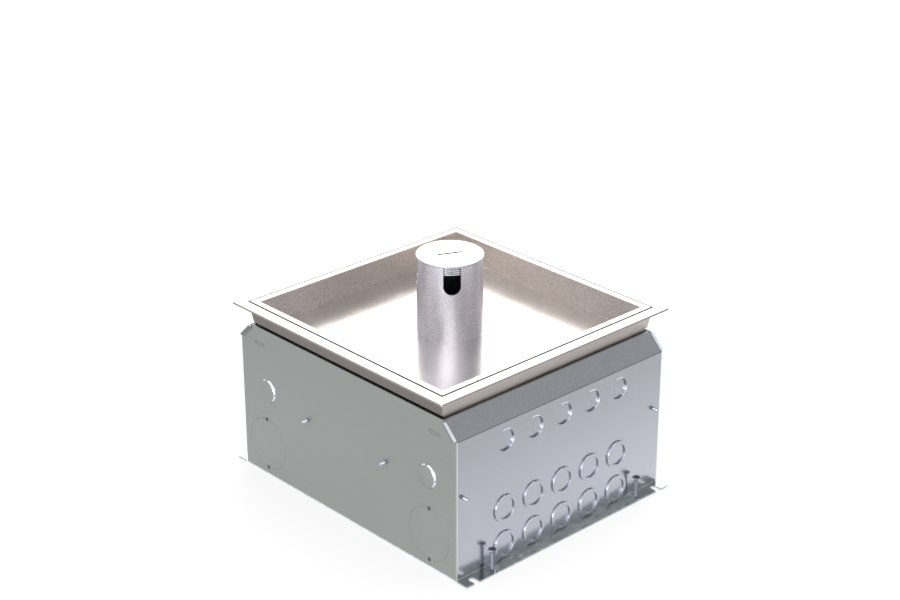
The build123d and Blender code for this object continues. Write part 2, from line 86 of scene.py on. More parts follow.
def bandFactor(tree, place, band):
    # a tone that changes along an axis, with the distance from the tube's axis ("radius"), from side to side
    # ("sides") or with the larger of |x| and |y| ("reach"); "only" is a second band that masks it
    apart = addNode(tree, "ShaderNodeSeparateXYZ", links={"Vector": place})
    if band["along"] == "radius":
        flatLinks = {"X": apart.outputs["X"], "Y": apart.outputs["Y"]}
        flat = addNode(tree, "ShaderNodeCombineXYZ", links=flatLinks)
        length = addNode(tree, "ShaderNodeVectorMath", {"operation": "LENGTH"}, {0: flat.outputs[0]})
        run = length.outputs["Value"]
    elif band["along"] in ("sides", "reach"):
        absolute = {"operation": "ABSOLUTE"}
        both = [addNode(tree, "ShaderNodeMath", absolute, {0: apart.outputs[axis]}) for axis in "XY"]
        links = {0: both[0].outputs[0], 1: both[1].outputs[0]}
        joined = "SUBTRACT" if band["along"] == "sides" else "MAXIMUM"
        run = addNode(tree, "ShaderNodeMath", {"operation": joined}, links).outputs[0]
    else:
        links = {0: apart.outputs[band["along"]]}
        run = addNode(tree, "ShaderNodeMath", {"operation": "ABSOLUTE"}, links).outputs[0]
    limits = {"From Min": band["mm"][0] * mm, "From Max": band["mm"][1] * mm}
    tones = {"To Min": band["tone"][0], "To Max": band["tone"][1]}
    tone = addNode(tree, "ShaderNodeMapRange", {**limits, **tones}, {"Value": run}).outputs["Result"]
    if "only" in band:
        share = bandFactor(tree, place, band["only"])
        tone = addNode(tree, "ShaderNodeMix", {2: 1.0}, {"Factor": share, 3: tone}).outputs[0]
    return tone


def sheetMetal(name, finish):
    # rolled sheet: a fine grain, a slow cloudiness and a slight change of gloss; the real grain is finer than
    # the render can show, so grainMm is as coarse as it needs to be
    material, tree, shader, place = startMaterial(name, 1.0)
    grainSettings = {"Scale": 1 / (finish["grainMm"] * mm), "Detail": 2.0}
    cloudSettings = {"Scale": 1 / (finish["cloudMm"] * mm), "Detail": 3.0}
    grain = addNode(tree, "ShaderNodeTexNoise", grainSettings, {"Vector": place})
    cloud = addNode(tree, "ShaderNodeTexNoise", cloudSettings, {"Vector": place})
    mixLinks = {2: grain.outputs["Fac"], 3: cloud.outputs["Fac"]}
    both = addNode(tree, "ShaderNodeMix", {"Factor": finish["cloudShare"]}, mixLinks)
    ramp = addNode(tree, "ShaderNodeValToRGB", links={"Fac": both.outputs[0]})
    ramp.color_ramp.elements[0].position = 0.5 - finish["contrast"]
    ramp.color_ramp.elements[1].position = 0.5 + finish["contrast"]
    ramp.color_ramp.elements[0].color = linearColour(finish["dark"])
    ramp.color_ramp.elements[1].color = linearColour(finish["light"])
    colour = ramp.outputs["Color"]
    tinted = {"data_type": "RGBA", "blend_type": "MULTIPLY", "Factor": 1.0}
    for band in finish.get("bands", []):
        tintLinks = {6: colour, 7: bandFactor(tree, place, band)}
        colour = addNode(tree, "ShaderNodeMix", tinted, tintLinks).outputs[2]
    glossEnds = {
        "To Min": finish["rough"] - finish["roughSpread"],
        "To Max": finish["rough"] + finish["roughSpread"],
    }
    gloss = addNode(tree, "ShaderNodeMapRange", {**noiseSpan, **glossEnds}, {"Value": cloud.outputs["Fac"]})
    roughness = gloss.outputs["Result"]
    for band in finish.get("glossBands", []):
        factors = {0: roughness, 1: bandFactor(tree, place, band)}
        roughness = addNode(tree, "ShaderNodeMath", {"operation": "MULTIPLY"}, factors).outputs[0]
    bumpSettings = {"Strength": finish["bump"], "Distance": finish["bumpMm"] * mm}
    bump = addNode(tree, "ShaderNodeBump", bumpSettings, {"Height": grain.outputs["Fac"]})
    tree.links.new(colour, shader.inputs["Base Color"])
    tree.links.new(roughness, shader.inputs["Roughness"])
    tree.links.new(bump.outputs["Normal"], shader.inputs["Normal"])
    return material


def mouldedPlastic(name, colour, rough, grainMm):
    # injection moulded: an even colour with a fine spark-eroded texture
    material, tree, shader, place = startMaterial(name, 0.0)
    grainSettings = {"Scale": 1 / (grainMm * mm), "Detail": 2.0}
    grain = addNode(tree, "ShaderNodeTexNoise", grainSettings, {"Vector": place})
    glossEnds = {"To Min": rough - erodedSkin["glossSpread"], "To Max": rough + erodedSkin["glossSpread"]}
    gloss = addNode(tree, "ShaderNodeMapRange", glossEnds, {"Value": grain.outputs["Fac"]})
    bumpSettings = {"Strength": erodedSkin["bump"], "Distance": erodedSkin["bumpMm"] * mm}
    bump = addNode(tree, "ShaderNodeBump", bumpSettings, {"Height": grain.outputs["Fac"]})
    shader.inputs["Base Color"].default_value = linearColour(colour)
    tree.links.new(gloss.outputs["Result"], shader.inputs["Roughness"])
    tree.links.new(bump.outputs["Normal"], shader.inputs["Normal"])
    return material


# Places that the finishes and the pieces share, in mm, the outer ones read from the frame
footWidth = 13.2
trayDepth = 25.0
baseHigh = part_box("base_plate")[1]
housing = {
    "halfX": baseHigh[0] / mm - footWidth,
    "halfY": baseHigh[1] / mm,
    "wallTop": 133.5,
    "shoulder": 15.4,
}
bend = housing["wallTop"]
footEnd = 89.0
footLine = 85.0
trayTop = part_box("frame_flange")[1][2] / mm
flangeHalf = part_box("frame_flange")[1][0] / mm
trayFloor = trayTop - trayDepth

# Hot-dip galvanised sheet: bluish grey with a fine spangle; lighter towards the bottom and darker towards the
# top as painted reflection, a line of painted shade along the bend, and the shoulder above it a little lighter
# as painted reflection
galvanisedWall = sheetMetal(
    "galvanised_wall",
    {"dark": "#A4A7AE", "light": "#BABDC5", "grainMm": 0.8, "cloudMm": 14, "cloudShare": 0.08, "contrast": 0.13,
     "rough": 0.22, "roughSpread": 0.012, "bump": 0.08, "bumpMm": 0.05,
     "bands": [{"along": "Z", "mm": (15, 125), "tone": (1.2, 0.85)},
               {"along": "Z", "mm": (bend - 0.6, bend - 0.4), "tone": (1.0, 0.7)},
               {"along": "Z", "mm": (bend + 0.4, bend + 0.6), "tone": (1.0, 1.63)}]},
)
# The end plates are duller and greenish, and darker than the walls partly as painted shade; a painted
# reflection lightens them towards the bottom to keep them even, and a painted highlight runs along their
# rounded corners
galvanisedPlate = sheetMetal(
    "galvanised_plate",
    {"dark": "#939693", "light": "#9DA09F", "grainMm": 0.9, "cloudMm": 20, "cloudShare": 0.2, "contrast": 0.25,
     "rough": 0.5, "roughSpread": 0.03, "bump": 0.06, "bumpMm": 0.05,
     "bands": [{"along": "Z", "mm": (5, 130), "tone": (1.1, 0.99)},
               {"along": "X", "mm": (housing["halfX"] - 0.25, housing["halfX"] - 0.1), "tone": (1.0, 2.1)}]},
)
# Zinc that was scored or sheared through: darker than the plate around it; the same tone is painted shade on
# the sides of the chamfer tabs
scoredZincAndShade = sheetMetal(
    "scored_zinc_and_painted_shade",
    {"dark": "#7E827F", "light": "#8B8F8C", "grainMm": 1.0, "cloudMm": 9, "cloudShare": 0.4, "contrast": 0.3,
     "rough": 0.5, "roughSpread": 0.04, "bump": 0.1, "bumpMm": 0.04},
)
# Foot strips: scuffed and greenish, smooth at the ends with the slots, with a painted highlight along the wall
# there and a painted highlight across the strip where the smooth ends begin
galvanisedFoot = sheetMetal(
    "galvanised_foot",
    {"dark": "#959D9D", "light": "#C9D0D0", "grainMm": 0.9, "cloudMm": 6, "cloudShare": 0.4, "contrast": 0.15,
     "rough": 0.46, "roughSpread": 0.08, "bump": 0.25, "bumpMm": 0.06,
     "bands": [{"along": "X", "mm": (housing["halfX"] + 0.5, housing["halfX"] + 0.8), "tone": (1.75, 1.0),
                "only": {"along": "Y", "mm": (footLine - 1, footLine + 1), "tone": (0.0, 1.0)}},
               {"along": "Y", "mm": (footEnd - 0.3, footEnd - 0.2), "tone": (1.0, 1.8)},
               {"along": "Y", "mm": (footEnd + 0.2, footEnd + 0.3), "tone": (1.0, 0.54)}],
     "glossBands": [{"along": "Y", "mm": (footEnd - 0.3, footEnd + 0.3), "tone": (1.0, 0.3)}]},
)
# Satin stainless sheet, 2B finish: warm grey, very fine grain, clear but soft reflections
satinFinish = {
    "dark": "#D5D0CC", "light": "#EAE6E3", "grainMm": 1.1, "cloudMm": 30, "cloudShare": 0.25, "contrast": 0.2,
    "rough": 0.15, "roughSpread": 0.02, "bump": 0.05, "bumpMm": 0.03,
}
satinStainless = sheetMetal("satin_stainless", satinFinish)
# The flange is the same sheet; its cut edge is darker
flangeEdge = {"along": "reach", "mm": (flangeHalf - 0.1, flangeHalf - 0.03), "tone": (1.0, 0.4)}
flangeStainless = sheetMetal("flange_stainless", {**satinFinish, "bands": [flangeEdge]})
# The folded tray: its walls keep the rolled grain, are duller than its floor and a tone darker as painted
# shade;
# the top of its rim is lighter as a painted highlight
trayStainless = sheetMetal(
    "tray_stainless",
    {"dark": "#C2BBB6", "light": "#EEE8E4", "grainMm": 0.8, "cloudMm": 30, "cloudShare": 0.05, "contrast": 0.14,
     "rough": 0.22, "roughSpread": 0.02, "bump": 0.1, "bumpMm": 0.03,
     "glossBands": [{"along": "Z", "mm": (trayFloor + 0.3, trayFloor + 0.6), "tone": (1.0, 1.55)}],
     "bands": [{"along": "Z", "mm": (trayFloor + 0.1, trayFloor + 0.4), "tone": (1.0, 0.85)},
               {"along": "Z", "mm": (trayTop - 1.2, trayTop - 0.6), "tone": (1.0, 1.18)}]},
)
# The tapered skirt's shade is painted into its colour: darkest over the end plates, lighter over the side walls
# and lighter again towards its lower edge, all painted light and shade
shadedSkirtStainless = sheetMetal(
    "skirt_stainless_painted_shade",
    {"dark": "#75706D", "light": "#7E7976", "grainMm": 1.1, "cloudMm": 20, "cloudShare": 0.3, "contrast": 0.2,
     "rough": 0.42, "roughSpread": 0.03, "bump": 0.1, "bumpMm": 0.03,
     "bands": [{"along": "sides", "mm": (-0.5, 0.5), "tone": (1.0, 2.65)},
               {"along": "Z", "mm": (trayTop - 23.5, trayTop - 18.5), "tone": (1.7, 1.0)}]},
)
# Ground stainless tube: cooler and more sparkly than the sheet, with painted shade that makes it nearly black
# inside
groundTube = sheetMetal(
    "ground_stainless_tube",
    {"dark": "#B0B0BA", "light": "#E8E8F2", "grainMm": 0.6, "cloudMm": 12, "cloudShare": 0.04, "contrast": 0.13,
     "rough": 0.4, "roughSpread": 0.01, "bump": 0.08, "bumpMm": 0.02,
     "bands": [{"along": "radius", "mm": (28.5, 29.4), "tone": (0.25, 1.0)}]},
)
# Bright zinc on turned parts: bluish, with small dark and light patches
zincPlated = sheetMetal(
    "zinc_plated_steel",
    {"dark": "#8C929C", "light": "#C3CAD6", "grainMm": 0.9, "cloudMm": 5, "cloudShare": 0.4, "contrast": 0.3,
     "rough": 0.24, "roughSpread": 0.05, "bump": 0.1, "bumpMm": 0.03},
)
# Near-white copy of the sheet for painted highlights on edges, lips and ridges that catch the light
highlightEdge = sheetMetal(
    "sheet_edge_painted_highlight",
    {"dark": "#DDE1EE", "light": "#FAFBFF", "grainMm": 0.7, "cloudMm": 3, "cloudShare": 0.5, "contrast": 0.25,
     "rough": 0.3, "roughSpread": 0.05, "bump": 0.2, "bumpMm": 0.04},
)
# The side of a half-punched edge: drawn smooth, darker than the sheet as painted shade
shadedPunchedEdge = sheetMetal(
    "punched_sheet_edge_painted_shade",
    {"dark": "#82868F", "light": "#A9ADB6", "grainMm": 0.7, "cloudMm": 3, "cloudShare": 0.5, "contrast": 0.2,
     "rough": 0.4, "roughSpread": 0.05, "bump": 0.2, "bumpMm": 0.04},
)
# Painted highlight on the cut ribs: bluish white from every side
cutRibsHighlight = sheetMetal(
    "cut_sheet_ribs_painted_highlight",
    {"dark": "#E3EDF8", "light": "#F4FAFF", "grainMm": 0.7, "cloudMm": 3, "cloudShare": 0.5, "contrast": 0.25,
     "rough": 0.75, "roughSpread": 0.05, "bump": 0.3, "bumpMm": 0.05},
)
# The long screws carry a duller zinc, darker as painted shade on their sides
dullShadedZinc = sheetMetal(
    "dull_zinc_plated_steel_painted_shade",
    {"dark": "#6C717B", "light": "#A4AAB5", "grainMm": 0.9, "cloudMm": 4, "cloudShare": 0.4, "contrast": 0.3,
     "rough": 0.3, "roughSpread": 0.05, "bump": 0.1, "bumpMm": 0.03},
)
# Cast aluminium: pale and matt, with the pebbly skin of the mould
castAluminium = sheetMetal(
    "cast_aluminium",
    {"dark": "#A9ABAD", "light": "#C6C8CA", "grainMm": 1.4, "cloudMm": 9, "cloudShare": 0.4, "contrast": 0.25,
     "rough": 0.5, "roughSpread": 0.06, "bump": 0.5, "bumpMm": 0.12},
)
# Drawn brass: yellow, smooth, slightly uneven from handling
drawnBrass = sheetMetal(
    "drawn_brass",
    {"dark": "#B99548", "light": "#D8B76A", "grainMm": 0.8, "cloudMm": 8, "cloudShare": 0.4, "contrast": 0.25,
     "rough": 0.3, "roughSpread": 0.05, "bump": 0.1, "bumpMm": 0.03},
)
# The milled coin slot and the pry holes are painted shade, nearly black
shadeBlack = mouldedPlastic("painted_shade_black", "#0E0F13", 0.7, 0.8)
# Rubber is matt and black, glass-filled nylon dark with a dull shine, polycarbonate pale and smoother
blackRubber = mouldedPlastic("black_rubber", "#1B1C1D", 0.7, 1.2)
darkNylon = mouldedPlastic("dark_nylon", "#2C2E31", 0.5, 1.0)
lightPolycarbonate = mouldedPlastic("light_polycarbonate", "#DCDDD8", 0.42, 1.0)
print("materials made")

corners = ("front_right", "front_left", "rear_right", "rear_left")
slotMaterials = {
    "galvanised_sheet": galvanisedWall,
    "satin_stainless": satinStainless,
    "zinc_fasteners": zincPlated,
    "cast_aluminium": castAluminium,
    "black_rubber": blackRubber,
    "dark_plastic": darkNylon,
    "light_plastic": lightPolycarbonate,
    "brass": drawnBrass,
}
# These nodes differ from their slot, because painted light and shade or handling give them another tone
ownMaterials = {
    "base_plate": galvanisedFoot,
    "end_plate_front": galvanisedPlate,
    "end_plate_rear": galvanisedPlate,
    "frame_flange": flangeStainless,
    "frame_skirt": shadedSkirtStainless,
    "lid_tray": trayStainless,
    "outlet_tube": groundTube,
    **{f"corner_shelf_{corner}": galvanisedPlate for corner in corners},
}
for subpart in frame["record"]["subparts"]:
    node = frame["nodes"][subpart["node"]]
    node.data.materials.clear()
    node.data.materials.append(ownMaterials.get(subpart["node"], slotMaterials[subpart["material_slot"]]))
print("materials given to the nodes")

# Sheet edges are broken, so they catch a thin line of light; widths in mm
brokenEdges = {
    "frame_flange": 0.12,
    "lid_tray": 0.2,
    "base_plate": 0.2,
    "side_wall_right": 0.15,
    "side_wall_left": 0.15,
}
sharpAngle = math.radians(40)
for name, width in brokenEdges.items():
    edge = frame["nodes"][name].modifiers.new("broken_edge", "BEVEL")
    edge.width = width * mm
    edge.limit_method = "ANGLE"
    edge.angle_limit = sharpAngle


def deselectAll():
    bpy.ops.object.select_all(action="DESELECT")


def makeActive(piece):
    deselectAll()
    piece.select_set(True)
    bpy.context.view_layer.objects.active = piece


def leaveEdit():
    # all normals outward, then back to object mode
    bpy.ops.mesh.select_all(action="SELECT")
    bpy.ops.mesh.normals_make_consistent(inside=False)
    bpy.ops.object.mode_set(mode="OBJECT")


def spinOutline(name, outline, steps, start=0, sweep=360):
    # a closed outline of (radius, height) in mm turned about Z; a part turn keeps its two ends
    deselectAll()
    fill = "NOTHING" if sweep == 360 else "NGON"
    bpy.ops.mesh.primitive_circle_add(vertices=len(outline), fill_type=fill)
    piece = bpy.context.object
    piece.name = name
    first = math.radians(start)
    for vertex, (radius, height) in zip(piece.data.vertices, outline):
        vertex.co = Vector((radius * math.cos(first), radius * math.sin(first), height)) * mm
    bpy.ops.object.mode_set(mode="EDIT")
    bpy.ops.mesh.select_all(action="SELECT")
    bpy.ops.mesh.spin(steps=steps, angle=math.radians(sweep), center=(0, 0, 0), axis=(0, 0, 1))
    bpy.ops.mesh.select_all(action="SELECT")
    bpy.ops.mesh.remove_doubles(threshold=0.001 * mm)
    leaveEdit()
    return piece


def addBlock(size, place=(0, 0, 0), turn=None, bevel=0, segments=0):
    # size, place and bevel in mm
    deselectAll()
    bpy.ops.mesh.primitive_cube_add(size=1)
    block = bpy.context.object
    lie = (turn or Matrix.Identity(4)) @ Matrix.Diagonal(Vector(size) * mm).to_4x4()
    block.data.transform(Matrix.Translation(Vector(place) * mm) @ lie)
    if bevel:
        bpy.ops.object.mode_set(mode="EDIT")
        bpy.ops.mesh.select_all(action="SELECT")
        bpy.ops.mesh.bevel(offset=bevel * mm, segments=segments, affect="EDGES")
        bpy.ops.object.mode_set(mode="OBJECT")
    return block


def cutAway(piece, cutter, name):
    cut = piece.modifiers.new(name, "BOOLEAN")
    cut.operation = "DIFFERENCE"
    cut.object = cutter
    makeActive(piece)
    bpy.ops.object.modifier_apply(modifier=cut.name)
    bpy.data.objects.remove(cutter)


def finishPiece(piece, materials, chooseMaterial=None, smoothAngle=35):
    # one material per face, chosen by the face's middle in mm and its normal
    piece.data.materials.clear()
    for material in materials:
        piece.data.materials.append(material)
    for face in piece.data.polygons:
        face.material_index = chooseMaterial(face.center / mm, face.normal) if chooseMaterial else 0
    makeActive(piece)
    bpy.ops.object.shade_smooth_by_angle(angle=math.radians(smoothAngle))


def selectFaces(piece, wanted):
    # in edit mode: the faces whose middle (mm) and normal fit
    bpy.ops.mesh.select_mode(type="FACE")
    bpy.ops.mesh.select_all(action="DESELECT")
    mesh = bmesh.from_edit_mesh(piece.data)
    for face in mesh.faces:
        face.select_set(bool(wanted(face.calc_center_median() / mm, face.normal)))
    bmesh.update_edit_mesh(piece.data)


def facing(normal):
    # turns a piece modelled on the XY plane so that its top looks outwards and its Y points up
    outward = Vector(normal).normalized()
    across = Vector((0, 0, 1)).cross(outward).normalized()
    return Matrix((across, outward.cross(across), outward)).transposed().to_4x4()


def placeCopy(master, turn, place):
    piece = master.copy()
    piece.data = master.data.copy()
    piece.data.transform(Matrix.Translation(Vector(place) * mm) @ turn)
    bpy.context.scene.collection.objects.link(piece)
    return piece


def joinPieces(name, pieces, body):
    deselectAll()
    for piece in pieces:
        piece.select_set(True)
    bpy.context.view_layer.objects.active = pieces[0]
    if len(pieces) > 1:
        bpy.ops.object.join()
    pieces[0].name = name
    pieces[0].data.name = name
    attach(pieces[0], body)
    return pieces[0]


def polarAngle(point):
    return math.degrees(math.atan2(point.y, point.x)) % 360


def within(angle, ranges):
    return any(low <= angle <= high for low, high in ranges)


flatNormal = 0.9  # a face lies across an axis when its normal's part along it is above this

# Knockouts of the side walls: raised rings of the M25s with their webs, linings of the set-back M20s
wallKnockouts = {
    "columns": (-70, -35, 0, 35, 70),
    "ringRows": (15.0, 50.3),
    "liningRow": 116.0,
    "ringOutline": [(12.95, -0.1), (12.95, 1.05), (12.92, 1.3), (12.7, 1.58),
                    (10.15, 1.58), (9.98, 1.4), (9.97, 1.05), (9.97, -0.1)],
    "liningOutline": [(0, -2.35), (0, -1.75), (9.9, -1.75), (9.9, -0.15),
                      (10.05, 0.06), (10.7, 0.06), (10.85, -0.1), (10.4, -2.35)],
    "steps": 56,
    "punchedBelow": 1.04,
    "lipNormal": 0.6,
    "lipAbove": -1,
    "webs": ((22, 13.1), (96, 13.1), (208, 13.1), (262, 9.9)),  # angle and radius
    "webHeight": 0.55,
    "webSize": (1.7, 1.0, 1.3),
    "webBevel": 0.35,
    "darkArcs": ((4, 34), (252, 292)),
    "brightArcs": ((334, 358), (300, 318)),
    "lipArc": ((60, 112),),
    "ringLipArcs": ((32, 84), (216, 254)),
}
ringMaster = spinOutline("ring_master", wallKnockouts["ringOutline"], wallKnockouts["steps"])


def ringTone(middle, normal):
    # the drawn sides carry painted shade, and parts of the rounded lips a painted highlight
    if middle.z < wallKnockouts["punchedBelow"]:
        return 1
    if abs(normal.z) < flatNormal and within(polarAngle(middle), wallKnockouts["ringLipArcs"]):
        return 2
    return 0


finishPiece(ringMaster, [galvanisedWall, shadedPunchedEdge, highlightEdge], ringTone)


def liningTone(middle, normal):
    # painted highlight on the flat lip's arc and on the bright arcs of the sides, painted shade on the dark
    # arcs
    angle = polarAngle(middle)
    if abs(normal.z) > wallKnockouts["lipNormal"]:
        return 2 if middle.z > wallKnockouts["lipAbove"] and within(angle, wallKnockouts["lipArc"]) else 0
    if within(angle, wallKnockouts["brightArcs"]):
        return 2
    return 1 if within(angle, wallKnockouts["darkArcs"]) else 0


liningMaster = spinOutline("lining_master", wallKnockouts["liningOutline"], wallKnockouts["steps"])
finishPiece(liningMaster, [galvanisedWall, shadedPunchedEdge, highlightEdge], liningTone)

webMaster = addBlock(wallKnockouts["webSize"], bevel=wallKnockouts["webBevel"], segments=2)
finishPiece(webMaster, [galvanisedWall])

for side, wallName in ((1, "right"), (-1, "left")):
    turn = facing((side, 0, 0))
    pieces = []
    for column in wallKnockouts["columns"]:
        for row in wallKnockouts["ringRows"]:
            centre = Vector((side * housing["halfX"], column, row))
            pieces.append(placeCopy(ringMaster, turn, centre))
            for angle, radius in wallKnockouts["webs"]:
                around = math.radians(angle)
                height = wallKnockouts["webHeight"]
                lie = turn @ Matrix.Rotation(math.radians(angle + 90), 4, "Z")
                spot = Vector((radius * math.cos(around), radius * math.sin(around), height))
                pieces.append(placeCopy(webMaster, lie, centre + turn @ spot))
        liningPlace = (side * housing["halfX"], column, wallKnockouts["liningRow"])
        pieces.append(placeCopy(liningMaster, turn, liningPlace))
    joinPieces(f"wall_knockout_edges_{wallName}", pieces, "housing")
for master in (ringMaster, liningMaster, webMaster):
    bpy.data.objects.remove(master)
print("side wall knockouts done")

# Knockouts of the end plates: raised M20 discs with a painted highlight on their edge, scored M50 circles with
# pry holes filled with black as painted shade
plateKnockouts = {
    "discX": housing["halfX"] - 36.3,
    "discZ": 88.3,
    "discOutline": [(0, -0.1), (0, 1.56), (10.2, 1.56), (10.34, 1.5), (11.4, 0.1), (11.45, -0.1)],
    "discSteps": 56,
    "highlightArcs": ((315, 352), (0, 84), (96, 122)),
    "circleX": housing["halfX"] - 33.6,
    "circleZ": 32.9,
    "circleOutline": [(24.8, -0.1), (24.8, 0.31), (24.9, 0.36), (25.3, 0.36), (26.6, 0.02), (26.6, -0.1)],
    "circleSteps": 44,
    "circleCrest": 0.355,
    "pryGap": 4.0,  # degrees left free on each side of a pry hole
    "pryRise": 25,
    "pryOutline": [(0, -1.4), (0, 0.34), (1.3, 0.34), (1.55, 0.42), (1.75, 0.3), (1.36, -1.4)],
    "prySteps": 20,
}
discMaster = spinOutline("disc_master", plateKnockouts["discOutline"], plateKnockouts["discSteps"])


def discTone(middle, normal):
    if abs(normal.z) > flatNormal:
        return 0
    return 1 if within(polarAngle(middle), plateKnockouts["highlightArcs"]) else 0


finishPiece(discMaster, [galvanisedPlate, highlightEdge], discTone)


def scoreTone(middle, normal):
    return 1 if middle.z > plateKnockouts["circleCrest"] else 0


scoreMasters = []
for pryAngle in (90, 270):
    start = pryAngle + plateKnockouts["pryGap"]
    sweep = 180 - 2 * plateKnockouts["pryGap"]
    score = spinOutline(
        "score_master", plateKnockouts["circleOutline"], plateKnockouts["circleSteps"], start, sweep
    )
    finishPiece(score, [galvanisedPlate, scoredZincAndShade], scoreTone)
    scoreMasters.append(score)
pryMaster = spinOutline("pry_master", plateKnockouts["pryOutline"], plateKnockouts["prySteps"])
finishPiece(pryMaster, [shadeBlack])
for side, plateName in ((-1, "front"), (1, "rear")):
    turn = facing((0, side, 0))
    # the painted highlight of every disc is on its side towards +X
    discTurn = turn if side < 0 else turn @ Matrix.Rotation(math.pi, 4, "Z")
    pieces = []
    for end in (-1, 1):
        discPlace = (end * plateKnockouts["discX"], side * housing["halfY"], plateKnockouts["discZ"])
        pieces.append(placeCopy(discMaster, discTurn, discPlace))
        place = (end * plateKnockouts["circleX"], side * housing["halfY"], plateKnockouts["circleZ"])
        for score in scoreMasters:
            pieces.append(placeCopy(score, turn, place))
        for rise in (-plateKnockouts["pryRise"], plateKnockouts["pryRise"]):
            pieces.append(placeCopy(pryMaster, turn, (place[0], place[1], place[2] + rise)))
    joinPieces(f"plate_knockout_edges_{plateName}", pieces, "housing")
for master in [discMaster, pryMaster, *scoreMasters]:
    bpy.data.objects.remove(master)
print("end plate knockouts done")

# Serrated strips along the chamfers of the end plates
serration = {
    "length": 18.3,
    "width": 3.1,
    "ribs": 12,
    "base": 0.12,
    "rib": 0.25,
    "proud": 2.0,
    "depth": 1.7,
    "grooveFrom": 0.9,  # shares of the base's height, above which a face is a groove or a rib
    "ribFrom": 1.2,
}
ribCells = 2 * serration["ribs"] + 1
ribPitch = serration["length"] / ribCells
deselectAll()
bpy.ops.mesh.primitive_grid_add(x_subdivisions=ribCells, y_subdivisions=1, size=1)
ribMaster = bpy.context.object
ribMaster.data.transform(Matrix.Diagonal((serration["length"] * mm, serration["width"] * mm, 1)).to_4x4())
ribMaster.data.transform(Matrix.Translation((0, 0, -serration["depth"] * mm)))
bpy.ops.object.mode_set(mode="EDIT")
bpy.ops.mesh.select_all(action="SELECT")
bpy.ops.mesh.extrude_region_move(
    TRANSFORM_OT_translate={"value": (0, 0, (serration["depth"] + serration["base"]) * mm)}
)


def isRib(middle, normal):
    # every second cell of the top
    cell = round((middle.x + serration["length"] / 2) / ribPitch - 0.5)
    return middle.z > serration["base"] * serration["grooveFrom"] and cell % 2 == 1


selectFaces(ribMaster, isRib)
bpy.ops.mesh.extrude_region_move(TRANSFORM_OT_translate={"value": (0, 0, serration["rib"] * mm)})
leaveEdit()


def ribTone(middle, normal):
    # ribs and grooves carry painted highlights, the grooves less bright; the tab's sides carry painted shade
    if middle.z > serration["base"] * serration["ribFrom"]:
        return 0
    if middle.z > serration["base"] * serration["grooveFrom"]:
        return 1
    return 0 if abs(normal.x) > flatNormal else 2


finishPiece(ribMaster, [cutRibsHighlight, highlightEdge, scoredZincAndShade], ribTone)
middleX = housing["halfX"] - housing["shoulder"] / 2
middleZ = housing["wallTop"] + housing["shoulder"] / 2
middleY = housing["halfY"] + serration["proud"] - serration["width"] / 2
for side, plateName in ((-1, "front"), (1, "rear")):
    pieces = []
    for end in (-1, 1):
        # the strip's length runs down the chamfer
        lie = facing((end, 0, 1)) @ Matrix.Rotation(math.radians(90), 4, "Z")
        pieces.append(placeCopy(ribMaster, lie, (end * middleX, side * middleY, middleZ)))
    joinPieces(f"chamfer_serration_{plateName}", pieces, "housing")
bpy.data.objects.remove(ribMaster)
print("chamfer strips done")

# Threaded weld studs
stud = {
    "radius": 1.75,
    "root": 1.45,
    "pitch": 0.7,
    "length": 5.0,
    "tip": 0.5,
    "tipBevel": 0.2,
    "steps": 16,
    "z": 78.8,
    "wallY": housing["halfY"] - 8.5,
    "plateX": 52.75,
}
threadSmooth = 30  # degrees, which keeps the crests sharp


def threadOutline(radius, root, pitch, low, high):
    # crests and roots of a thread from low to high
    turns = int((high - low) / pitch)
    return [(radius if half % 2 == 0 else root, low + half * pitch / 2) for half in range(2 * turns + 1)]


threadTop = stud["length"] - stud["tip"]
studOutline = [(0, 0), *threadOutline(stud["radius"], stud["root"], stud["pitch"], 0, threadTop)]
studOutline += [(stud["root"] - stud["tipBevel"], stud["length"]), (0, stud["length"])]
studMaster = spinOutline("stud_master", studOutline, stud["steps"])
finishPiece(studMaster, [zincPlated], smoothAngle=threadSmooth)
wallStuds = []
plateStuds = []
for side in (-1, 1):
    for end in (-1, 1):
        wallPlace = (side * housing["halfX"], end * stud["wallY"], stud["z"])
        wallStuds.append(placeCopy(studMaster, facing((side, 0, 0)), wallPlace))
        platePlace = (end * stud["plateX"], side * housing["halfY"], stud["z"])
        plateStuds.append(placeCopy(studMaster, facing((0, side, 0)), platePlace))
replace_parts(joinPieces("threaded_wall_studs", wallStuds, "housing"), "wall_studs")
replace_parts(joinPieces("threaded_end_studs", plateStuds, "housing"), "end_studs")
bpy.data.objects.remove(studMaster)
print("studs done")

# Levelling screws: threaded shank, countersunk head with a cross recess
level = {
    "radius": 1.7,
    "root": 1.42,
    "pitch": 0.75,
    "point": 0.3,
    "threadLow": 0.4,
    "neck": 0.6,
    "neckInset": 0.1,
    "headRadius": 3.8,
    "headHeight": 2.2,
    "rim": 0.25,
    "rimInset": 0.12,
    "length": 21.0,
    "steps": 24,
    "crossLength": 3.8,
    "crossWidth": 0.9,
    "crossDepth": 1.3,
}
headLow = level["length"] - level["headHeight"]
threadHigh = headLow - level["neck"]
levelOutline = [(0, 0), (level["root"] - level["point"], 0)]
levelOutline += threadOutline(level["root"], level["radius"], level["pitch"], level["threadLow"], threadHigh)
levelOutline += [(level["radius"] - level["neckInset"], headLow)]
levelOutline += [(level["headRadius"], level["length"] - level["rim"])]
levelOutline += [(level["headRadius"] - level["rimInset"], level["length"]), (0, level["length"])]
screwMaster = spinOutline("screw_master", levelOutline, level["steps"])
crossSize = (level["crossLength"], level["crossWidth"], 2 * level["crossDepth"])
for angle in (0, 90):
    cutter = addBlock(crossSize, (0, 0, level["length"]), Matrix.Rotation(math.radians(angle), 4, "Z"))
    cutAway(screwMaster, cutter, "cross_recess")
finishPiece(screwMaster, [dullShadedZinc], smoothAngle=threadSmooth)
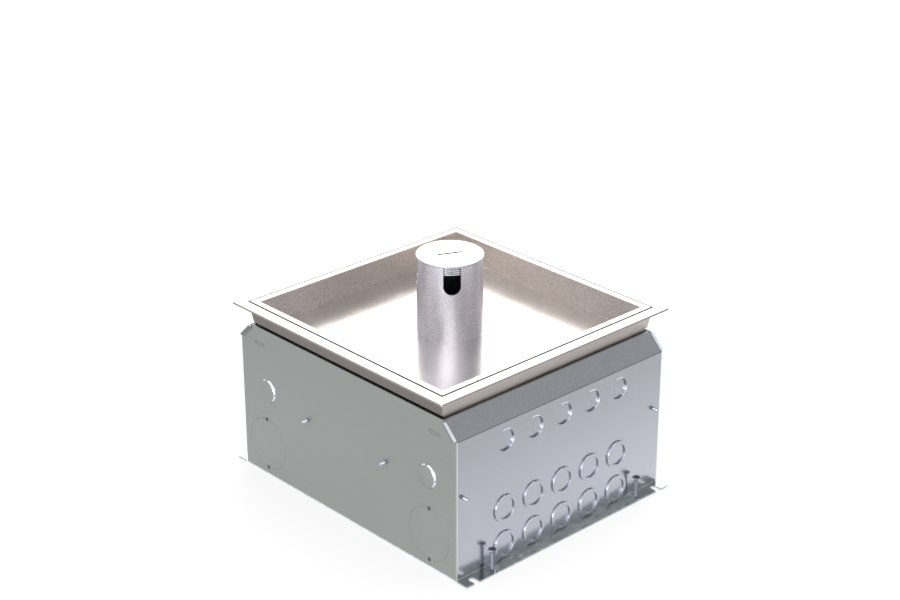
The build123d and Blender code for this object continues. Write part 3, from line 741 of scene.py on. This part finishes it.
for corner in corners:
    screwLow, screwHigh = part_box(f"levelling_screw_{corner}")
    foot = ((screwLow[0] + screwHigh[0]) / 2 / mm, (screwLow[1] + screwHigh[1]) / 2 / mm, screwLow[2] / mm)
    screwCopy = placeCopy(screwMaster, Matrix.Identity(4), foot)
    screw = joinPieces(f"levelling_screw_threaded_{corner}", [screwCopy], f"levelling_screw_{corner}")
    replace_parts(screw, f"levelling_screw_{corner}")
bpy.data.objects.remove(screwMaster)
print("levelling screws done")

# Screw cap: broken edge, coin slot, ridged plug
cap = {
    "radius": 30.5,
    "disc": 1.8,
    "edge": 0.3,
    "plugRadius": 28.05,
    "plugRoot": 27.5,
    "plugWall": 2.6,
    "plugHeight": 8.4,
    "ridgePitch": 2.0,
    "ridge": (0.5, 0.8, 1.8),  # below each pitch: end of the root, start and end of the crest
    "crestDepth": 0.2,
    "steps": 72,
    "coinLength": 22.6,
    "coinWidth": 2.6,
    "coinDepth": 1.0,
    "coinAngle": 64.5,
}
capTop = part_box("screw_cap")[1][2] / mm
plugTop = capTop - cap["disc"]
plugLow = plugTop - cap["plugHeight"]
plugInside = cap["plugRadius"] - cap["plugWall"]
capOutline = [(0, capTop), (cap["radius"] - cap["edge"], capTop)]
capOutline += [(cap["radius"], capTop - cap["edge"]), (cap["radius"], plugTop)]
for ridge in range(int(cap["plugHeight"] / cap["ridgePitch"])):
    high = plugTop - ridge * cap["ridgePitch"]
    rootEnd, crestStart, crestEnd = (high - fall for fall in cap["ridge"])
    capOutline += [(cap["plugRoot"], high), (cap["plugRoot"], rootEnd)]
    capOutline += [(cap["plugRadius"], crestStart), (cap["plugRadius"], crestEnd)]
capOutline += [(cap["plugRoot"], plugLow), (plugInside, plugLow), (plugInside, plugTop), (0, plugTop)]
capPiece = spinOutline("screw_cap_turned", capOutline, cap["steps"])
coinSize = (cap["coinLength"], cap["coinWidth"], 2 * cap["coinDepth"])
coinTurn = Matrix.Rotation(math.radians(cap["coinAngle"]), 4, "Z")
cutAway(capPiece, addBlock(coinSize, (0, 0, capTop), coinTurn), "coin_slot")


def capTone(middle, normal):
    # the top, the rim, the coin slot's inside as painted shade, and the plug's crests as painted highlight and
    # its grooves in darker zinc as painted shade
    reach = math.hypot(middle.x, middle.y)
    if middle.z > capTop - 0.01:
        return 0
    if middle.z > plugTop:
        return 1 if reach > cap["coinLength"] else 3
    return 2 if reach > cap["plugRadius"] - cap["crestDepth"] else 4


finishPiece(capPiece, [satinStainless, groundTube, highlightEdge, shadeBlack, zincPlated], capTone)
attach(capPiece, "cap")
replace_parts(capPiece, "screw_cap")
print("screw cap done")

# The tray's opening is turned over towards the tube, which leaves hardly a gap
openingLip = {
    "inner": 29.8,
    "crest": 29.95,
    "outer": 30.4,
    "low": -0.6,  # heights from the tray's floor
    "high": 0.02,
    "crestHigh": 0.1,
    "steps": 72,
}
openingOutline = [
    (openingLip["inner"], trayFloor + openingLip["low"]),
    (openingLip["inner"], trayFloor + openingLip["high"]),
    (openingLip["crest"], trayFloor + openingLip["crestHigh"]),
    (openingLip["outer"], trayFloor + openingLip["high"]),
    (openingLip["outer"], trayFloor + openingLip["low"]),
]
collarLip = spinOutline("tube_opening_lip", openingOutline, openingLip["steps"])
finishPiece(collarLip, [trayStainless])
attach(collarLip, "tray")
print("tube opening done")

# A black strip for the gasket's lip fills the gap between the tray's rim and the flange as painted shade; the
# tray sits a little towards the rear left, so the line is wider at the front and the right
lip = {"half": 129.2, "width": 1.45, "shift": 0.85, "low": trayTop - 1.0, "height": 1.03}
deselectAll()
bpy.ops.mesh.primitive_plane_add(size=2 * lip["half"] * mm)
seamShadePiece = bpy.context.object
bpy.ops.object.mode_set(mode="EDIT")
bpy.ops.mesh.select_all(action="SELECT")
bpy.ops.mesh.inset(thickness=lip["width"] * mm)
bpy.ops.transform.translate(value=(-lip["shift"] * mm, lip["shift"] * mm, 0))
bpy.ops.mesh.delete(type="FACE")
bpy.ops.mesh.select_all(action="SELECT")
bpy.ops.mesh.extrude_region_move(TRANSFORM_OT_translate={"value": (0, 0, lip["height"] * mm)})
leaveEdit()
seamShadePiece.data.transform(Matrix.Translation((0, 0, lip["low"] * mm)))
finishPiece(seamShadePiece, [blackRubber])
joinPieces("gasket_lip_seam_shade", [seamShadePiece], "frame")
print("gasket lip done")

# The side walls end in a narrow fold towards the frame
topFold = {
    "outer": housing["halfX"] - housing["shoulder"] + 0.1,
    "top": housing["wallTop"] + housing["shoulder"] - 0.05,
    "width": 2.2,
    "thick": 1.0,
    "halfLength": housing["halfY"] - 2.0,
    "bevel": 0.3,
}
foldSize = (topFold["width"], 2 * topFold["halfLength"], topFold["thick"])
for side, wallName in ((1, "right"), (-1, "left")):
    middle = (side * (topFold["outer"] - topFold["width"] / 2), 0, topFold["top"] - topFold["thick"] / 2)
    foldPiece = addBlock(foldSize, middle, bevel=topFold["bevel"], segments=3)
    finishPiece(foldPiece, [galvanisedPlate])
    joinPieces(f"wall_top_fold_{wallName}", [foldPiece], "housing")
print("wall folds done")

# Camera, at the photograph's viewing angle
viewpoint = {"azimuth": 47.006, "elevation": 24.393, "place": (1.1986, -1.1174, 0.9189), "lens": 80.16}
azimuth = math.radians(viewpoint["azimuth"])
elevation = math.radians(viewpoint["elevation"])
flatReach = math.cos(elevation)
back = Vector((math.sin(azimuth) * flatReach, -math.cos(azimuth) * flatReach, math.sin(elevation)))
camera = bpy.data.objects.new("camera", bpy.data.cameras.new("camera"))
camera.data.sensor_width = 36
camera.data.lens = viewpoint["lens"]
camera.location = viewpoint["place"]
camera.rotation_mode = "QUATERNION"
camera.rotation_quaternion = (-back).to_track_quat("-Z", "Y")
bpy.context.scene.collection.objects.link(camera)
bpy.context.scene.camera = camera

# Studio: the room is white to the camera and in reflections, and softer as a light
studio = {
    "roomLevel": 0.6,
    "floorSize": 12,
    "floorDropMm": 0.5,
    "floorColour": "#FAFAFA",
    "floorGlow": 1.05,
    "floorGlowShare": 0.55,
    "darkCorner": (0.55, 0.63, 0.55),
    "darkLevel": 0.6,
    "darkDegrees": (22, 42),
    "aim": (0, 0, 0.1),
}


def seenDirectly(tree):
    # 1 for camera, glossy and transmission rays
    path = addNode(tree, "ShaderNodeLightPath")
    larger = {"operation": "MAXIMUM"}
    firstLinks = {0: path.outputs["Is Camera Ray"], 1: path.outputs["Is Glossy Ray"]}
    first = addNode(tree, "ShaderNodeMath", larger, firstLinks)
    secondLinks = {0: first.outputs[0], 1: path.outputs["Is Transmission Ray"]}
    return addNode(tree, "ShaderNodeMath", larger, secondLinks).outputs[0]


world = bpy.data.worlds.new("studio")
bpy.context.scene.world = world
world.use_nodes = True
sky = world.node_tree
# the rear right corner of the room has no lamp, and metal shows it darker
direction = addNode(sky, "ShaderNodeTexCoord").outputs["Generated"]
cornerAxis = {"operation": "DOT_PRODUCT", 1: Vector(studio["darkCorner"]).normalized()}
towards = addNode(sky, "ShaderNodeVectorMath", cornerAxis, {0: direction})
darkFade = {
    "From Min": math.cos(math.radians(studio["darkDegrees"][1])),
    "From Max": math.cos(math.radians(studio["darkDegrees"][0])),
    "To Min": 1.0,
    "To Max": studio["darkLevel"],
}
cornerLevel = addNode(sky, "ShaderNodeMapRange", darkFade, {"Value": towards.outputs["Value"]})
glossy = addNode(sky, "ShaderNodeLightPath").outputs["Is Glossy Ray"]
mirrored = addNode(sky, "ShaderNodeMix", {2: 1.0}, {"Factor": glossy, 3: cornerLevel.outputs["Result"]})
levelLinks = {"Factor": seenDirectly(sky), 3: mirrored.outputs[0]}
skyLevel = addNode(sky, "ShaderNodeMix", {2: studio["roomLevel"]}, levelLinks)
sky.links.new(skyLevel.outputs[0], sky.nodes["Background"].inputs["Strength"])
sky.nodes["Background"].inputs["Color"].default_value = (1, 1, 1, 1)

deselectAll()
bpy.ops.mesh.primitive_plane_add(size=studio["floorSize"], location=(0, 0, -studio["floorDropMm"] * mm))
floor = bpy.context.object
floor.name = "studio_floor"
floorMaterial = bpy.data.materials.new("pale_floor")
floorMaterial.use_nodes = True
floorTree = floorMaterial.node_tree
floorShader = floorTree.nodes["Principled BSDF"]
floorShader.inputs["Base Color"].default_value = linearColour(studio["floorColour"])
floorShader.inputs["Roughness"].default_value = 1.0
floorShader.inputs["Specular IOR Level"].default_value = 0.0
glow = addNode(floorTree, "ShaderNodeEmission", {"Strength": studio["floorGlow"]})
shareSettings = {"operation": "MULTIPLY", 1: studio["floorGlowShare"]}
share = addNode(floorTree, "ShaderNodeMath", shareSettings, {0: seenDirectly(floorTree)})
lookLinks = {0: share.outputs[0], 1: floorShader.outputs[0], 2: glow.outputs[0]}
floorLook = addNode(floorTree, "ShaderNodeMixShader", links=lookLinks)
floorTree.links.new(floorLook.outputs[0], floorTree.nodes["Material Output"].inputs["Surface"])
floor.data.materials.append(floorMaterial)

softboxes = {
    "overhead_softbox": {"place": (0.0, 0.0, 2.4), "size": 2.2, "watts": 22},
    "rear_left_softbox": {"place": (-1.45, 2.1, 1.75), "size": 2.5, "watts": 34},
    "front_left_softbox": {"place": (0.81, -1.83, 0.35), "size": 0.6, "watts": 16},
    "front_right_softbox": {"place": (2.0, -1.9, 1.3), "size": 1.9, "watts": 22},
}
for name, box in softboxes.items():
    lamp = bpy.data.lights.new(name, "AREA")
    lamp.size = box["size"]
    lamp.energy = box["watts"]
    lampObject = bpy.data.objects.new(name, lamp)
    lampObject.location = box["place"]
    lampObject.rotation_mode = "QUATERNION"
    lampObject.rotation_quaternion = (Vector(studio["aim"]) - lampObject.location).to_track_quat("-Z", "Y")
    bpy.context.scene.collection.objects.link(lampObject)
bpy.context.scene.view_settings.view_transform = "Standard"
print("studio ready")
